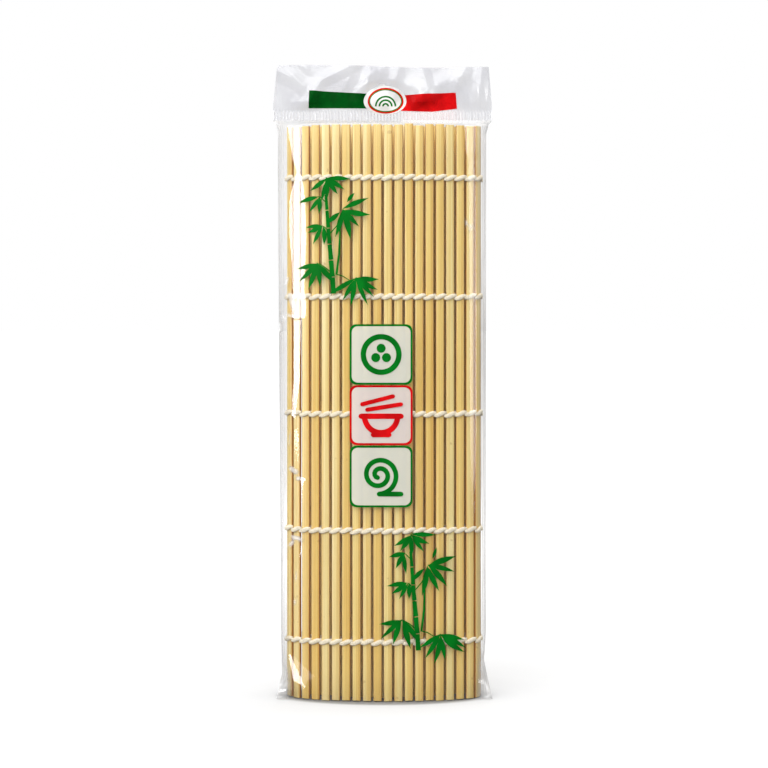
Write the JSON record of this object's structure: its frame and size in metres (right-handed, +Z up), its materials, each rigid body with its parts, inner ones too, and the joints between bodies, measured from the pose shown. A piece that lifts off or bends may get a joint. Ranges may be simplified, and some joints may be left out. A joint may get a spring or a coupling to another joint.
{
  "type": "sushi rolling mat",
  "caption": "Bamboo rolling mat of flat slats twined with cotton cord, folded in three and standing in a clear film bag with a flat header.",
  "frame": {"origin": "centre of the packed mat's outline on the surface that it stands on", "axes": "+Z up along the slats, +X along the front leaf to the viewer's right, -Y is the printed front that the picture shows"},
  "size_m": [0.1046, 0.0364, 0.3006],
  "materials": {
    "bamboo": "satin",
    "cotton_cord": "matte",
    "clear_film": "gloss",
    "header_film": "gloss"
  },
  "bodies": {
    "middle_leaf": {"slat_23": "bamboo", "slat_24": "bamboo", "slat_25": "bamboo", "slat_26": "bamboo", "slat_27": "bamboo", "slat_28": "bamboo", "slat_29": "bamboo", "slat_30": "bamboo", "slat_31": "bamboo", "slat_32": "bamboo", "slat_33": "bamboo", "slat_34": "bamboo", "slat_35": "bamboo", "slat_36": "bamboo", "slat_37": "bamboo", "slat_38": "bamboo", "binding_cords": "cotton_cord"},
    "front_leaf": {"slat_01": "bamboo", "slat_02": "bamboo", "slat_03": "bamboo", "slat_04": "bamboo", "slat_05": "bamboo", "slat_06": "bamboo", "slat_07": "bamboo", "slat_08": "bamboo", "slat_09": "bamboo", "slat_10": "bamboo", "slat_11": "bamboo", "slat_12": "bamboo", "slat_13": "bamboo", "slat_14": "bamboo", "slat_15": "bamboo", "slat_16": "bamboo", "slat_17": "bamboo", "slat_18": "bamboo"},
    "back_leaf": {"slat_42": "bamboo", "slat_43": "bamboo", "slat_44": "bamboo", "slat_45": "bamboo", "slat_46": "bamboo", "slat_47": "bamboo", "slat_48": "bamboo", "slat_49": "bamboo", "slat_50": "bamboo", "slat_51": "bamboo", "slat_52": "bamboo", "slat_53": "bamboo", "slat_54": "bamboo", "slat_55": "bamboo"},
    "slat_19": {"slat_19": "bamboo"},
    "slat_20": {"slat_20": "bamboo"},
    "slat_21": {"slat_21": "bamboo"},
    "slat_22": {"slat_22": "bamboo"},
    "slat_39": {"slat_39": "bamboo"},
    "slat_40": {"slat_40": "bamboo"},
    "slat_41": {"slat_41": "bamboo"},
    "bag": {"clear_sleeve": "clear_film", "header": "header_film"}
  },
  "joints": [
    {"name": "hinge_22", "type": "hinge", "parent": "middle_leaf", "child": "slat_22", "pos_m": [0.03954, 0.00209, 0.135], "axis": [0, 0, 1], "range_deg": [0, 46.05]},
    {"name": "unfold", "type": "hinge", "parent": "slat_22", "child": "slat_21", "pos_m": [0.04415, 0.00043, 0.135], "axis": [0, 0, 1], "range_deg": [0, 55], "deforming": ["binding_cords", "clear_sleeve"]},
    {"name": "hinge_20", "type": "hinge", "parent": "slat_21", "child": "slat_20", "pos_m": [0.04543, -0.00429, 0.135], "axis": [0, 0, 1], "range_deg": [0, 50.05]},
    {"name": "hinge_19", "type": "hinge", "parent": "slat_20", "child": "slat_19", "pos_m": [0.04263, -0.00832, 0.135], "axis": [0, 0, 1], "range_deg": [0, 31.03]},
    {"name": "hinge_18", "type": "hinge", "parent": "slat_19", "child": "front_leaf", "pos_m": [0.03817, -0.01033, 0.135], "axis": [0, 0, 1], "range_deg": [0, 10.01]},
    {"name": "hinge_39", "type": "hinge", "parent": "middle_leaf", "child": "slat_39", "pos_m": [-0.03596, 0.00117, 0.135], "axis": [0, 0, 1], "range_deg": [0, 40.04]},
    {"name": "hinge_40", "type": "hinge", "parent": "slat_39", "child": "slat_40", "pos_m": [-0.03804, 0.00561, 0.135], "axis": [0, 0, 1], "range_deg": [0, 45.05]},
    {"name": "hinge_41", "type": "hinge", "parent": "slat_40", "child": "slat_41", "pos_m": [-0.03638, 0.01022, 0.135], "axis": [0, 0, 1], "range_deg": [0, 42.04]},
    {"name": "hinge_42", "type": "hinge", "parent": "slat_41", "child": "back_leaf", "pos_m": [-0.03207, 0.01253, 0.135], "axis": [0, 0, 1], "range_deg": [0, 19.02]},
    {"name": "bag_lift", "type": "slide", "parent": "middle_leaf", "child": "bag", "axis": [0, 0, 1], "range_m": [0, 0.3]}
  ],
  "couplings": [
    {"joint": "hinge_22", "follows": "unfold", "ratio": 0.83636},
    {"joint": "hinge_20", "follows": "unfold", "ratio": 0.90909},
    {"joint": "hinge_19", "follows": "unfold", "ratio": 0.56364},
    {"joint": "hinge_18", "follows": "unfold", "ratio": 0.18182},
    {"joint": "hinge_39", "follows": "unfold", "ratio": 0.72727},
    {"joint": "hinge_40", "follows": "unfold", "ratio": 0.81818},
    {"joint": "hinge_41", "follows": "unfold", "ratio": 0.76364},
    {"joint": "hinge_42", "follows": "unfold", "ratio": 0.34545}
  ]
}
